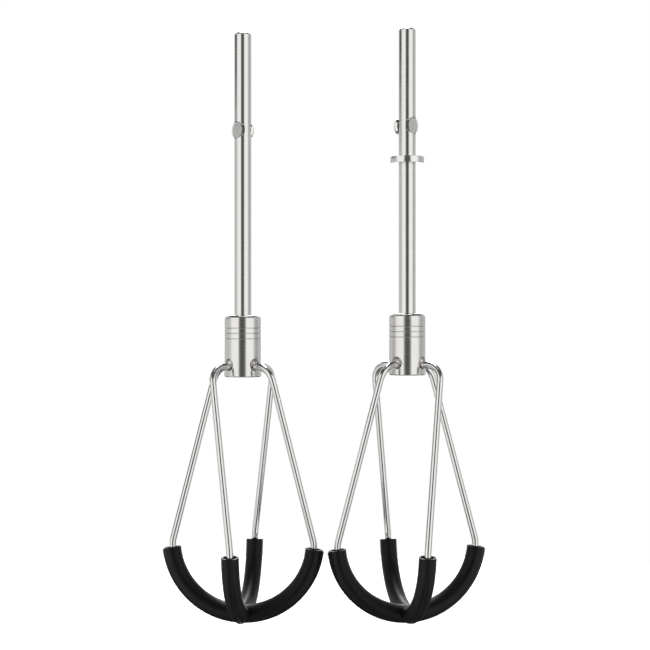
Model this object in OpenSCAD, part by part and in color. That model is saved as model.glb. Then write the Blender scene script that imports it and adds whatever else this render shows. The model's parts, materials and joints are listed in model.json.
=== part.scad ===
// A matched pair of balloon beaters for a hand mixer: one plain, one marked with a
// collar. Each has a steel shaft with a riveted drive pin, a turned hub, two crossed
// wire loops and two soft sleeves that lap where the loops cross.
// Heights are worked out from the lowest point of the plain beater. The whole part is
// then lowered so that the origin is the middle of the plain beater's shank.

/* [Shaft] */
// Diameter of the shaft, which is also the shank held by the mixer's socket
shaft_d = 5.75; // [5:0.05:6]
// Height of the plain shaft's tip above the lowest point of its bulb
tip_h = 194.5; // [185:0.5:200]
// Chamfer at both ends of the shaft
tip_chamfer = 0.5; // [0.3:0.1:0.8]

/* [Drive pin] */
// Height of the drive pin above the lowest point of the bulb
pin_h = 162.4; // [155:0.1:166]
// Diameter of the pin's two button heads
head_d = 5.6; // [5.4:0.1:6.2]
// Distance from the shaft's axis to the rim of a head
head_rim = 2.5; // [2.2:0.05:2.8]
// Distance from the shaft's axis to the crown of a head
head_crown = 3.1; // [3:0.05:3.4]
// Distance from the shaft's axis to the flat that a head seats on
head_seat = 1.2; // [1:0.05:1.5]
// Diameter of the pin's shank, between the heads
pin_d = 2.4; // [2:0.1:3]
// How much further out the back head of the collared beater's pin stands
collared_back_out = 0.9; // [0:0.1:1]

/* [Collar] */
// Outside diameter of the collar
collar_d = 11.5; // [10:0.1:13]
// Thickness of the collar
collar_t = 2.15; // [1.5:0.05:3]
// Distance from the drive pin down to the middle of the collar
collar_drop = 11.3; // [8:0.1:20]

/* [Hub] */
// Diameter of the hub
hub_d = 12.3; // [12:0.1:13]
// Height of the hub's underside above the lowest point of the bulb
hub_h = 81.1; // [79:0.1:83]
// Length of the hub
hub_len = 20.3; // [19:0.1:22]
// Height of the wire holes above the hub's underside
hole_rise = 3.4; // [3:0.1:4]
// Drop from the hub's top to the first of its grooves
groove_drop = 4.2; // [3:0.1:5]
// Pitch of the grooves
groove_pitch = 1.75; // [1.5:0.05:2]
// Number of grooves
groove_count = 3; // [1:1:4]

/* [Wire cage] */
// Diameter of the wire
wire_d = 2.25; // [2:0.05:2.4]
// Radius of the corner where a wire turns down, measured from the shaft's axis
shoulder_r = 13.3; // [12.5:0.1:14.5]
// Bend radius of that corner
shoulder_bend = 5.5; // [4:0.25:6]
// Radius of the loop at the bottom of the cage, on the sleeve's centre line
loop_r = 23.8; // [22.5:0.1:25]
// Angle from a wire's hole round to its loop
twist = 40; // [30:1:45]

/* [Sleeves] */
// Outside diameter of a sleeve
sleeve_d = 5.7; // [5.5:0.1:6]
// Height of a sleeve's ends above the lowest point of the bulb
sleeve_top = 24.7; // [22:0.1:25]
// How far the rib stands out along the outside of a sleeve
rib_out = 0.4; // [0.3:0.05:0.6]
// Width of the rib
rib_w = 1.35; // [1:0.05:1.8]
// Radius of the shallow cup in a sleeve's mouth, round the wire
cup_r = 2.3; // [2:0.05:2.5]

/* [Pair] */
// Distance between the two shafts
pair_pitch = 54.2; // [54:0.1:70]
// Extra height of the collared shaft's tip, with its drive pin and its collar
collared_extra = 1.5; // [0:0.1:3]
// Extra height of the collared beater's hub
collared_lift = 0.6; // [0:0.1:1]
// Direction of the plain beater's first loop, from the front towards +X
plain_turn = -7; // [-45:1:45]
// Direction of the collared beater's first loop, from the front towards +X
collared_turn = 13; // [-45:1:45]

/* [Hidden] */

$fn = 64;
STEEL = "lightgray";
POLISHED = "silver";
RUBBER = "#222222";

fit_gap = 0.02;               // radial gap of a brazed or pressed joint
shaft_r = shaft_d / 2;
wire_r = wire_d / 2;
bore_r = wire_r + 0.06;       // bore of a sleeve
sleeve_r = sleeve_d / 2;
hub_r = hub_d / 2;
head_r = head_d / 2;

hub_top = hub_h + hub_len;
hole_h = hub_h + hole_rise;
plug_r = 3.2;                 // the hub's plug and its counterbore
plug_len = 6.6;
plug_recess = 0.3;            // how far the plug sits inside the hub's underside
plug_low = hub_h + plug_recess;
plug_top = plug_low + plug_len;
plug_reach = plug_r + 1;      // half length of a cutter that passes through the plug
shaft_low = plug_top + 0.2;
shaft_draft = 0.01;           // how much the radius shrinks from the clear shank to the hub
wire_end_r = 1.45;            // where the ends of the wires stop, inside the plug

loop_h = loop_r + sleeve_r + rib_out;   // height of the sleeve arcs' centre
lap_h = loop_h - loop_r;                // level at which the sleeves lap
lap_shift = 1.3;              // how far each wire runs from the lap, at the crossing
mouth_reach = 1.7;            // length of wire from a sleeve's mouth to its bend's corner
mouth_h = sleeve_top - 0.3;   // where a wire leaves its arc, just inside the sleeve
cup_depth = 0.7;              // depth of the cup in a sleeve's mouth
cup_taper = 0.3;              // how much narrower the cup is at its floor
bar_sides = 20;               // sides of a wire's section
arc_steps = 32;               // steps of a wire's bottom arc
shoulder_steps = 9;           // steps of the bend beside the hub
knee_steps = 3;               // steps of the bend above a sleeve

pin_clearance = 3.6;          // from the pin's middle up to the clear shank
shank_low = pin_h + pin_clearance;
shank_len = tip_h - tip_chamfer - shank_low;
origin_h = shank_low + shank_len / 2;

// Helpers

function unit(v) = v / norm(v);

// A point given by its radius, its direction from the front towards +X, and its height
function polar(r, turn, h) = [r * sin(turn), -r * cos(turn), h];

// Puts an axis that runs along +Z onto the direction dir
module along(from, dir) {
    u = unit(dir);
    translate(from) rotate([0, acos(u.z), atan2(u.y, u.x)]) children();
}

// Points along the bend at a corner, from direction u into direction v
function bend(corner, u, v, bend_r, steps) =
    let (
        turned_by = acos(u * v),
        side = cross(u, unit(cross(u, v))),
        centre = corner - u * bend_r * tan(turned_by / 2) - side * bend_r
    )
    [for (i = [0:steps]) let (a = turned_by * i / steps)
        centre + bend_r * (side * cos(a) + u * sin(a))];

// A list with its points in the opposite order
function reversed(points) = [for (i = [len(points) - 1:-1:0]) points[i]];

// Direction of a path at its point i
function heading(path, i) =
    unit(path[min(i + 1, len(path) - 1)] - path[max(i - 1, 0)]);

// The part of v that is square to the direction t
function squared(v, t) = unit(v - t * (v * t));

// A round bar along a path, carried without twisting
module swept_bar(path, r) {
    count = len(path);
    sides = [for (i = 0, n = squared([0, 0, 1], heading(path, 0)); i < count;
        i = i + 1, n = i < count ? squared(n, heading(path, i)) : n) n];
    rings = [for (i = [0:count - 1]) let (n = sides[i], b = cross(heading(path, i), n))
        for (j = [0:bar_sides - 1]) let (a = 360 * j / bar_sides)
            path[i] + r * (n * cos(a) + b * sin(a))];
    walls = [for (i = [0:count - 2]) for (j = [0:bar_sides - 1])
        let (k = (j + 1) % bar_sides, low = i * bar_sides, high = low + bar_sides)
            [low + j, high + j, high + k, low + k]];
    start = [for (j = [0:bar_sides - 1]) j];
    end = [for (j = [bar_sides - 1:-1:0]) (count - 1) * bar_sides + j];
    polyhedron(points = rings, faces = concat([start], walls, [end]), convexity = 6);
}

// An arc of a round bar that hangs below its centre, in the plane of direction turn.
// It stops short of level by the angle short at each end.
module hanging_arc(turn, centre_h, arc_r, r, short) {
    rotate([0, 0, turn - 90]) translate([0, 0, centre_h]) rotate([90, 0, 0])
        rotate([0, 0, 180 + short]) rotate_extrude(angle = 180 - 2 * short)
            translate([arc_r, 0]) circle(r = r);
}

// A solid of revolution from half an outline, as [radius, height] points
module turned(points) {
    rotate_extrude() polygon(points);
}

// Quarter of a circle for the rounded edge of a turned part
function fillet(cx, cz, r, from, to) =
    [for (i = [0:4]) let (a = from + (to - from) * i / 4) [cx + r * cos(a), cz + r * sin(a)]];

// Sub-parts of one beater

// Shaft, with flats for the pin's heads and a cross bore between them. Its clear shank is
// ground true, and below that the rod has a very slight draft.
module shaft(extra, lift, turn, back_out) {
    low = shaft_low + lift;
    low_r = shaft_r - shaft_draft;
    top = tip_h + extra;
    c = tip_chamfer;
    color(STEEL) difference() {
        turned([
            [0, low], [low_r - c, low], [low_r, low + c], [shaft_r, shank_low + extra],
            [shaft_r, top - c], [shaft_r - c, top], [0, top]
        ]);
        translate([0, 0, pin_h + extra]) rotate([0, 0, turn]) rotate([90, 0, 0]) {
            cylinder(r = pin_d / 2 + fit_gap, h = 2 * head_rim, center = true);
            for (head = [[0, 0], [180, back_out]]) rotate([0, head[0], 0])
                translate([0, 0, head_seat + head[1]])
                    cylinder(r = head_r + fit_gap, h = head_rim);
        }
    }
}

// Riveted cross pin that drives the beater: a shank with two domed button heads
module drive_pin(extra, turn, back_out) {
    rise = head_crown - head_rim;
    dome_r = (pow(head_r, 2) + pow(rise, 2)) / (2 * rise);
    seat = head_seat + fit_gap;
    edge = 0.2;
    color(POLISHED) translate([0, 0, pin_h + extra]) rotate([0, 0, turn]) rotate([90, 0, 0])
        union() {
            cylinder(r = pin_d / 2, h = 2 * head_rim, center = true);
            for (head = [[0, 0], [180, back_out]]) rotate([0, head[0], 0])
                translate([0, 0, head[1]]) intersection() {
                    turned([
                        [0, seat], [head_r, seat], [head_r, head_rim - edge],
                        [head_r - 2 * edge, head_crown], [0, head_crown]
                    ]);
                    translate([0, 0, head_crown - dome_r]) sphere(r = dome_r);
                }
        }
}

// Ring pressed onto the collared shaft
module collar(extra) {
    low = pin_h + extra - collar_drop - collar_t / 2;
    high = low + collar_t;
    edge = 0.15;
    bore = shaft_r + fit_gap;
    out = collar_d / 2;
    color(POLISHED) turned([
        [bore, low], [out - edge, low], [out, low + edge],
        [out, high - edge], [out - edge, high], [bore, high]
    ]);
}

// Turned hub: bored for the shaft, counterbored for the plug, and drilled for the wires
module hub(hole_turn) {
    top_fillet = 1.2;
    low_fillet = 0.5;
    groove_w = 0.3;
    groove_depth = 0.12;
    sink_r = 2.3;
    sink_rise = 0.7;
    sink_depth = 1;
    color(STEEL) difference() {
        turned(concat(
            [[0, hub_h]],
            fillet(hub_r - low_fillet, hub_h + low_fillet, low_fillet, -90, 0),
            fillet(hub_r - top_fillet, hub_top - top_fillet, top_fillet, 0, 90),
            [[0, hub_top]]
        ));
        for (i = [0:groove_count - 1])
            translate([0, 0, hub_top - groove_drop - i * groove_pitch]) turned([
                [hub_r - groove_depth, -groove_w / 2], [hub_r + 1, -groove_w / 2],
                [hub_r + 1, groove_w / 2], [hub_r - groove_depth, groove_w / 2]
            ]);
        translate([0, 0, hub_h + 1]) cylinder(r = shaft_r + fit_gap, h = hub_len);
        translate([0, 0, hub_h - 1]) cylinder(r = plug_r + fit_gap, h = plug_top - hub_h + 1);
        for (k = [0:3]) {
            out = polar(1, hole_turn + 90 * k, 0);
            along([0, 0, hole_h], out) cylinder(r = wire_r + fit_gap, h = hub_r + 1);
            along(out * (hub_r - sink_depth) + [0, 0, hole_h + sink_rise], out)
                cylinder(r = sink_r, h = sink_depth + 1);
        }
    }
}

// Plug pressed into the hub from below: its crossed holes hold the ends of the wires
module hub_plug(hole_turn) {
    edge = 0.3;
    color(POLISHED) difference() {
        turned([
            [0, plug_low], [plug_r - edge, plug_low], [plug_r, plug_low + edge],
            [plug_r, plug_top - edge], [plug_r - edge, plug_top], [0, plug_top]
        ]);
        for (k = [0:1]) {
            out = polar(1, hole_turn + 90 * k, 0);
            along([0, 0, hole_h] - out * plug_reach, out)
                cylinder(r = wire_r + fit_gap, h = 2 * plug_reach);
        }
    }
}

// One wire loop: out of the hub, down to the sleeve, round and back up
module wire(turn, hole_turn, centre_h, lift) {
    short = asin((centre_h - mouth_h) / loop_r);
    start = polar(wire_end_r, hole_turn, hole_h + lift);
    shoulder = polar(shoulder_r, hole_turn, hole_h + lift);
    rise = polar(sin(short), turn, cos(short));
    knee = polar(loop_r * cos(short), turn, mouth_h) + rise * mouth_reach;
    down = unit(knee - shoulder);
    knee_bend = mouth_reach / tan(acos(down * -rise) / 2);
    leg = concat(
        [start],
        bend(shoulder, unit(shoulder - start), down, shoulder_bend, shoulder_steps),
        bend(knee, down, -rise, knee_bend, knee_steps)
    );
    arc_step = (180 - 2 * short) / arc_steps;
    arc = [for (i = [1:arc_steps - 1]) let (a = short + i * arc_step)
        polar(loop_r * cos(a), turn, centre_h - loop_r * sin(a))];
    far_leg = [for (p = reversed(leg)) [-p.x, -p.y, p.z]];
    color(POLISHED) swept_bar(concat(leg, arc, far_leg), wire_r);
}

// Rib along the outside of a sleeve, cut back at a slant at its two ends
module rib(turn) {
    slant = 78;
    root = 0.5;
    cutter = 10;
    rotate([0, 0, turn - 90]) difference() {
        translate([0, 0, loop_h]) rotate([90, 0, 0]) rotate([0, 0, 180])
            rotate_extrude(angle = 180)
                translate([loop_r + sleeve_r - root, -rib_w / 2])
                    square([root + rib_out, rib_w]);
        for (side = [0, 180]) rotate([0, 0, side])
            translate([loop_r + sleeve_r, 0, sleeve_top]) rotate([0, slant, 0])
                translate([-cutter, -cutter / 2, 0]) cube([2 * cutter, cutter, cutter]);
    }
}

// Cutters for the cups in a sleeve's two mouths
module cups(turn) {
    mouth_r = sqrt(pow(loop_r, 2) - pow(loop_h - sleeve_top, 2));
    for (side = [-90, 90]) rotate([0, 0, turn + side])
        translate([mouth_r, 0, sleeve_top - cup_depth])
            cylinder(r1 = cup_r - cup_taper, r2 = cup_r + cup_taper, h = 2 * cup_depth);
}

// Soft sleeve on a wire loop. The lower sleeve is notched from above and the upper
// sleeve from below, so that they lap flush where they cross.
module sleeve(turn, wire_centre_h, notched_above) {
    gap = 0.03;
    notch = sleeve_d + 2 * gap;
    reach = 40;
    floor_h = -1;
    color(RUBBER) difference() {
        union() {
            hanging_arc(turn, loop_h, loop_r, sleeve_r, 0);
            rib(turn);
        }
        hanging_arc(turn, wire_centre_h, loop_r, bore_r, 0);
        cups(turn);
        translate([-reach, -reach, sleeve_top]) cube([2 * reach, 2 * reach, reach]);
        rotate([0, 0, turn])
            translate([-reach / 2, -notch / 2, notched_above ? lap_h - gap : floor_h])
                cube([reach, notch, notched_above ? sleeve_d : lap_h + gap - floor_h]);
    }
}

// The two beaters

module plain() {
    translate([0, 0, -origin_h]) children();
}

module collared(lift = 0) {
    translate([pair_pitch, 0, lift - origin_h]) children();
}

low_h = loop_h - lap_shift;   // centre of the lower wire's arc
high_h = loop_h + lap_shift;  // centre of the upper wire's arc
plain_hole = plain_turn - twist;
collared_hole = collared_turn + twist;
plain_pin_turn = -50;
collared_pin_turn = 52.5;

module plain_shaft() plain() shaft(0, 0, plain_pin_turn, 0);
module plain_drive_pin() plain() drive_pin(0, plain_pin_turn, 0);
module plain_hub() plain() hub(plain_hole);
module plain_hub_plug() plain() hub_plug(plain_hole);
module plain_lower_wire() plain() wire(plain_turn, plain_hole, low_h, 0);
module plain_upper_wire() plain() wire(plain_turn + 90, plain_hole + 90, high_h, 0);
module plain_lower_sleeve() plain() sleeve(plain_turn, low_h, true);
module plain_upper_sleeve() plain() sleeve(plain_turn + 90, high_h, false);

module collared_shaft()
    collared() shaft(collared_extra, collared_lift, collared_pin_turn, collared_back_out);
module collared_drive_pin()
    collared() drive_pin(collared_extra, collared_pin_turn, collared_back_out);
module collared_collar() collared() collar(collared_extra);
module collared_hub() collared(collared_lift) hub(collared_hole);
module collared_hub_plug() collared(collared_lift) hub_plug(collared_hole);
module collared_lower_wire()
    collared() wire(collared_turn, collared_hole, low_h, collared_lift);
module collared_upper_wire()
    collared() wire(collared_turn + 90, collared_hole + 90, high_h, collared_lift);
module collared_lower_sleeve() collared() sleeve(collared_turn, low_h, true);
module collared_upper_sleeve() collared() sleeve(collared_turn + 90, high_h, false);

plain_shaft();
plain_drive_pin();
plain_hub();
plain_hub_plug();
plain_lower_wire();
plain_upper_wire();
plain_lower_sleeve();
plain_upper_sleeve();
collared_shaft();
collared_drive_pin();
collared_collar();
collared_hub();
collared_hub_plug();
collared_lower_wire();
collared_upper_wire();
collared_lower_sleeve();
collared_upper_sleeve();
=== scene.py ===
"""Looks of a matched pair of hand mixer beaters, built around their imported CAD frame.

Each beater is a ground steel shaft with a riveted drive pin, a turned hub, two crossed wire
loops and two black silicone sleeves. One beater of the pair carries a collar.
All sizes here are in metres unless a name says otherwise.
"""

import json
import logging
import math
from collections.abc import Sequence
from dataclasses import dataclass, field
from enum import Enum
from typing import Any

import bmesh
import bpy
from mathutils import Matrix, Vector

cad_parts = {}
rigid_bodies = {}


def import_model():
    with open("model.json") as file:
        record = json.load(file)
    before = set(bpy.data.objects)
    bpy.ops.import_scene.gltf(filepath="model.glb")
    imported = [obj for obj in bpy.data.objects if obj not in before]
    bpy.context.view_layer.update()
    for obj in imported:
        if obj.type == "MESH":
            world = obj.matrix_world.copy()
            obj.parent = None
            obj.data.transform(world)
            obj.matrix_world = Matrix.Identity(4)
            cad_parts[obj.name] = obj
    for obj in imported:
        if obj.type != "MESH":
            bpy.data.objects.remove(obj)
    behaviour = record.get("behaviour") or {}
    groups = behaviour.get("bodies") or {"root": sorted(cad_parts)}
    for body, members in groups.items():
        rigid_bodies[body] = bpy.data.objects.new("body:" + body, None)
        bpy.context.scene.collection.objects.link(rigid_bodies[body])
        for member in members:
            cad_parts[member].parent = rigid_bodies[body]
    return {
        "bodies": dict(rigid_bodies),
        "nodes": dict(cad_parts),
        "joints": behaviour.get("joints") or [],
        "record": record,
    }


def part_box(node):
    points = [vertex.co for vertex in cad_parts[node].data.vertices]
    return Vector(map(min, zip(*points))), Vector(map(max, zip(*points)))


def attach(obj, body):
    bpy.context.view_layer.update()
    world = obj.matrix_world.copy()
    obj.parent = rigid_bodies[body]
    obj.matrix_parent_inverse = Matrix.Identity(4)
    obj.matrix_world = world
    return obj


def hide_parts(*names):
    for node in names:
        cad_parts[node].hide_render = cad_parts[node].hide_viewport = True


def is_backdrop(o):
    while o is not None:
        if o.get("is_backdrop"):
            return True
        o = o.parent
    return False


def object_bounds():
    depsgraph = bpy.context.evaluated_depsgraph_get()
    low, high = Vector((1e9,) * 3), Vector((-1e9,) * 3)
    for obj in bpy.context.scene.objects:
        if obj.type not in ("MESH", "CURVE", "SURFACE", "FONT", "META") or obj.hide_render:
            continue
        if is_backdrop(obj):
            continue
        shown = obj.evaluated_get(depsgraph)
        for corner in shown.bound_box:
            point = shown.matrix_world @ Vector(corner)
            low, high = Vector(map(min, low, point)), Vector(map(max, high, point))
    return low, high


LOG = logging.getLogger("beaters")
MM = 0.001
UP = Vector((0.0, 0.0, 1.0))

Point2 = tuple[float, float]


# ---------------------------------------------------------------- small helpers


def linear(hex_colour: str) -> tuple[float, float, float, float]:
    """Turns an sRGB hex colour into linear light.

    Args:
        hex_colour: Six hex digits, with or without a leading #.

    Returns:
        Linear red, green, blue and an alpha of 1.
    """
    digits = hex_colour.lstrip("#")
    channels = [int(digits[i : i + 2], 16) / 255 for i in (0, 2, 4)]
    light = [c / 12.92 if c <= 0.04045 else ((c + 0.055) / 1.055) ** 2.4 for c in channels]
    return (light[0], light[1], light[2], 1.0)


def add_node(
    tree: bpy.types.NodeTree,
    kind: str,
    inputs: dict[str | int, Any] | None = None,
    **settings: Any,
) -> bpy.types.Node:
    """Adds a node, sets its properties, and sets or links its inputs.

    Args:
        tree: The node tree that the node goes in.
        kind: The node's type name.
        inputs: Input name or index to a value, or to the socket that feeds it.
        **settings: Properties of the node itself.

    Returns:
        The new node.
    """
    node = tree.nodes.new(kind)
    for name, value in settings.items():
        setattr(node, name, value)
    for key, value in (inputs or {}).items():
        socket = node.inputs[key]
        if isinstance(value, bpy.types.NodeSocket):
            tree.links.new(value, socket)
        else:
            socket.default_value = value
    return node


def polar(radius: float, turn: float, height: float = 0.0) -> Vector:
    """Gives a point by its radius, its direction and its height.

    Args:
        radius: Distance from the vertical axis.
        turn: Direction in radians, from the front towards +X.
        height: Height.

    Returns:
        The point.
    """
    return Vector((radius * math.sin(turn), -radius * math.cos(turn), height))


def arc_points(centre: Point2, radius: float, start: float, end: float, steps: int) -> list[Point2]:
    """Gives points along an arc of a flat outline.

    Args:
        centre: The arc's centre.
        radius: Its radius.
        start: First angle, in degrees.
        end: Last angle, in degrees.
        steps: Number of steps between them.

    Returns:
        The points, both ends included.
    """
    angles = [math.radians(start + (end - start) * i / steps) for i in range(steps + 1)]
    return [(centre[0] + radius * math.cos(a), centre[1] + radius * math.sin(a)) for a in angles]


def bend_points(corner: Vector, into: Vector, out: Vector, radius: float, steps: int) -> list[Vector]:
    """Gives points along the bend of a wire at a corner.

    Args:
        corner: Where the two straight runs would meet.
        into: Direction of the run before the bend.
        out: Direction of the run after it.
        radius: Bend radius of the wire's centre line.
        steps: Number of steps in the bend.

    Returns:
        The points, both ends included.
    """
    total = into.angle(out)
    side = into.cross(into.cross(out).normalized())
    centre = corner - into * radius * math.tan(total / 2) - side * radius
    angles = [total * i / steps for i in range(steps + 1)]
    return [centre + radius * (side * math.cos(a) + into * math.sin(a)) for a in angles]


def new_piece(name: str, mesh: bpy.types.Mesh, material: bpy.types.Material) -> bpy.types.Object:
    """Links a mesh into the scene as a piece with one material.

    Args:
        name: Name of the piece.
        mesh: Its mesh, already in place.
        material: Its finish.

    Returns:
        The piece.
    """
    mesh.name = name
    mesh.materials.clear()
    mesh.materials.append(material)
    piece = bpy.data.objects.new(name, mesh)
    bpy.context.scene.collection.objects.link(piece)
    return piece


def baked_mesh(obj: bpy.types.Object) -> bpy.types.Mesh:
    """Evaluates an object's modifiers into a plain mesh and removes the object.

    Args:
        obj: A helper object with its modifiers.

    Returns:
        The evaluated mesh.
    """
    bpy.context.view_layer.update()
    depsgraph = bpy.context.evaluated_depsgraph_get()
    mesh = bpy.data.meshes.new_from_object(
        obj.evaluated_get(depsgraph), preserve_all_data_layers=True, depsgraph=depsgraph
    )
    obj.modifiers.clear()
    bpy.data.objects.remove(obj)
    return mesh


def lathe_mesh(name: str, outline: Sequence[Point2], matrix: Matrix, segments: int) -> bpy.types.Mesh:
    """Turns an outline about the local Z axis into a closed mesh.

    Args:
        name: Name of the mesh.
        outline: Radius and height points, from one end to the other. Ends off the axis join up.
        matrix: Where the local axis lies.
        segments: Number of segments round the axis.

    Returns:
        The mesh, with its faces outwards.
    """
    bm = bmesh.new()
    rings: list[list[bmesh.types.BMVert]] = []
    for radius, height in outline:
        if radius < 1e-9:
            rings.append([bm.verts.new((0.0, 0.0, height))])
            continue
        angles = [2 * math.pi * i / segments for i in range(segments)]
        places = [(radius * math.cos(a), radius * math.sin(a), height) for a in angles]
        rings.append([bm.verts.new(place) for place in places])
    pairs = list(zip(rings, rings[1:]))
    if len(rings[0]) > 1:
        pairs.append((rings[-1], rings[0]))
    for low, high in pairs:
        for i in range(segments):
            j = (i + 1) % segments
            corners = [low[i % len(low)], low[j % len(low)], high[j % len(high)], high[i % len(high)]]
            face = list(dict.fromkeys(corners))
            if len(face) > 2:
                bm.faces.new(face)
    bmesh.ops.recalc_face_normals(bm, faces=bm.faces)
    bm.transform(matrix)
    mesh = bpy.data.meshes.new(name)
    bm.to_mesh(mesh)
    bm.free()
    return mesh


def carve(mesh: bpy.types.Mesh, cutters: Sequence[bpy.types.Mesh]) -> bpy.types.Mesh:
    """Cuts shapes out of a mesh.

    Args:
        mesh: The mesh to cut.
        cutters: The shapes to take away.

    Returns:
        The cut mesh.
    """
    body = bpy.data.objects.new("carved", mesh)
    bpy.context.scene.collection.objects.link(body)
    helpers = []
    for cutter in cutters:
        helper = bpy.data.objects.new("cutter", cutter)
        bpy.context.scene.collection.objects.link(helper)
        helpers.append(helper)
        cut = body.modifiers.new("cut", "BOOLEAN")
        cut.operation = "DIFFERENCE"
        cut.solver = "EXACT"
        cut.object = helper
    result = baked_mesh(body)
    for helper in helpers:
        bpy.data.objects.remove(helper)
    return result


def smooth(mesh: bpy.types.Mesh, sharp_degrees: float) -> None:
    """Shades a mesh smooth, apart from its sharp edges.

    Args:
        mesh: The mesh.
        sharp_degrees: Edges that turn by more than this stay crisp.
    """
    mesh.shade_smooth()
    mesh.set_sharp_from_angle(angle=math.radians(sharp_degrees))


def true_round(mesh: bpy.types.Mesh, axis: Vector, radius: float) -> None:
    """Gives the wall of a vertical cylinder the normals of a true cylinder, even round a cut.

    The other faces keep their own normals.

    Args:
        mesh: The mesh.
        axis: A point on the cylinder's axis.
        radius: The wall's radius.
    """
    level_slope = 0.01
    tolerance = 0.01 * MM
    normals = [Vector((0.0, 0.0, 0.0))] * len(mesh.loops)
    for polygon in mesh.polygons:
        if abs(polygon.normal.z) > level_slope:
            continue
        spokes = [(mesh.vertices[v].co - axis) * Vector((1.0, 1.0, 0.0)) for v in polygon.vertices]
        if any(abs(spoke.length - radius) > tolerance for spoke in spokes):
            continue
        for loop, spoke in zip(polygon.loop_indices, spokes):
            normals[loop] = spoke.normalized()
    mesh.normals_split_custom_set([tuple(n) for n in normals])


# ---------------------------------------------------------------- finishes


# Name of the attribute that says where a point of a wire lies in its section and along it.
SECTION = "section"
# How many times longer than wide the fine marks of a metal surface are.
MARK_STRETCH = 60


class Grain(Enum):
    """Which way the fine marks of a metal surface run."""

    ROUND = "round the beater's axis"
    ALONG = "along the wire"


@dataclass(frozen=True)
class SteelFinish:
    """Stainless steel, named for how its surface was made.

    The noise gives the eye fine marks that catch the light a little differently from line to
    line, and slow patches of handling that keep the metal from looking like a perfect mirror.
    """

    name: str
    light_hex: str
    dark_hex: str
    roughness: float
    roughness_spread: float
    grain: Grain
    mark_pitch: float
    mark_depth: float
    patch_size: float = 9 * MM

    def mark_coordinates(self, tree: bpy.types.NodeTree) -> bpy.types.NodeSocket:
        """Makes coordinates that change once a mark across the grain, and slowly along it.

        Args:
            tree: The material's node tree.

        Returns:
            The socket that gives them.
        """
        across = 1 / self.mark_pitch
        slow = across / MARK_STRETCH
        if self.grain is Grain.ROUND:
            source = add_node(tree, "ShaderNodeTexCoord").outputs["Object"]
            scale = (slow, slow, across)
        else:
            source = add_node(tree, "ShaderNodeAttribute", attribute_name=SECTION).outputs["Vector"]
            scale = (across, across, slow)
        return add_node(
            tree, "ShaderNodeMapping", {"Vector": source, "Scale": scale}
        ).outputs["Vector"]

    def material(self) -> bpy.types.Material:
        """Builds the finish as a material.

        Returns:
            The material.
        """
        material = bpy.data.materials.new(self.name)
        material.use_nodes = True
        tree = material.node_tree
        shader = tree.nodes["Principled BSDF"]
        marks = add_node(
            tree,
            "ShaderNodeTexNoise",
            {"Vector": self.mark_coordinates(tree), "Scale": 1.0, "Detail": 3.0, "Roughness": 0.6},
        ).outputs["Fac"]
        place = add_node(tree, "ShaderNodeTexCoord").outputs["Object"]
        patches = add_node(
            tree,
            "ShaderNodeTexNoise",
            {"Vector": place, "Scale": 1 / self.patch_size, "Detail": 4.0, "Roughness": 0.55},
        ).outputs["Fac"]
        tone = add_node(
            tree,
            "ShaderNodeMix",
            {"Factor": marks, 6: linear(self.dark_hex), 7: linear(self.light_hex)},
            data_type="RGBA",
        ).outputs[2]
        tree.links.new(tone, shader.inputs["Base Color"])
        shader.inputs["Metallic"].default_value = 1.0
        blur = add_node(
            tree, "ShaderNodeMath", {0: marks, 1: patches}, operation="MULTIPLY"
        ).outputs[0]
        roughness = add_node(
            tree,
            "ShaderNodeMapRange",
            {
                "Value": blur,
                "From Min": 0.1,
                "From Max": 0.4,
                "To Min": self.roughness - self.roughness_spread,
                "To Max": self.roughness + self.roughness_spread,
            },
        ).outputs["Result"]
        tree.links.new(roughness, shader.inputs["Roughness"])
        bump = add_node(
            tree,
            "ShaderNodeBump",
            {"Height": marks, "Distance": self.mark_depth, "Strength": 1.0},
        ).outputs["Normal"]
        tree.links.new(bump, shader.inputs["Normal"])
        return material


@dataclass(frozen=True)
class SiliconeFinish:
    """Moulded silicone rubber, which has a soft satin skin with a very fine grain.

    The grain breaks up the highlights, and slow cloudiness in the gloss is what the eye reads
    as rubber and not as paint.
    """

    name: str
    base_hex: str
    bloom_hex: str
    roughness: float
    specular: float
    grain_size: float
    grain_depth: float
    cloud_size: float

    def material(self) -> bpy.types.Material:
        """Builds the finish as a material.

        Returns:
            The material.
        """
        material = bpy.data.materials.new(self.name)
        material.use_nodes = True
        tree = material.node_tree
        shader = tree.nodes["Principled BSDF"]
        place = add_node(tree, "ShaderNodeTexCoord").outputs["Object"]
        clouds = add_node(
            tree,
            "ShaderNodeTexNoise",
            {"Vector": place, "Scale": 1 / self.cloud_size, "Detail": 3.0, "Roughness": 0.5},
        ).outputs["Fac"]
        grain = add_node(
            tree,
            "ShaderNodeTexNoise",
            {"Vector": place, "Scale": 1 / self.grain_size, "Detail": 2.0, "Roughness": 0.6},
        ).outputs["Fac"]
        tone = add_node(
            tree,
            "ShaderNodeMix",
            {"Factor": clouds, 6: linear(self.base_hex), 7: linear(self.bloom_hex)},
            data_type="RGBA",
        ).outputs[2]
        tree.links.new(tone, shader.inputs["Base Color"])
        roughness = add_node(
            tree,
            "ShaderNodeMapRange",
            {
                "Value": clouds,
                "From Min": 0.3,
                "From Max": 0.7,
                "To Min": self.roughness - 0.05,
                "To Max": self.roughness + 0.05,
            },
        ).outputs["Result"]
        tree.links.new(roughness, shader.inputs["Roughness"])
        shader.inputs["IOR"].default_value = 1.41
        shader.inputs["Specular IOR Level"].default_value = self.specular
        bump = add_node(
            tree,
            "ShaderNodeBump",
            {"Height": grain, "Distance": self.grain_depth, "Strength": 1.0},
        ).outputs["Normal"]
        tree.links.new(bump, shader.inputs["Normal"])
        return material


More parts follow.
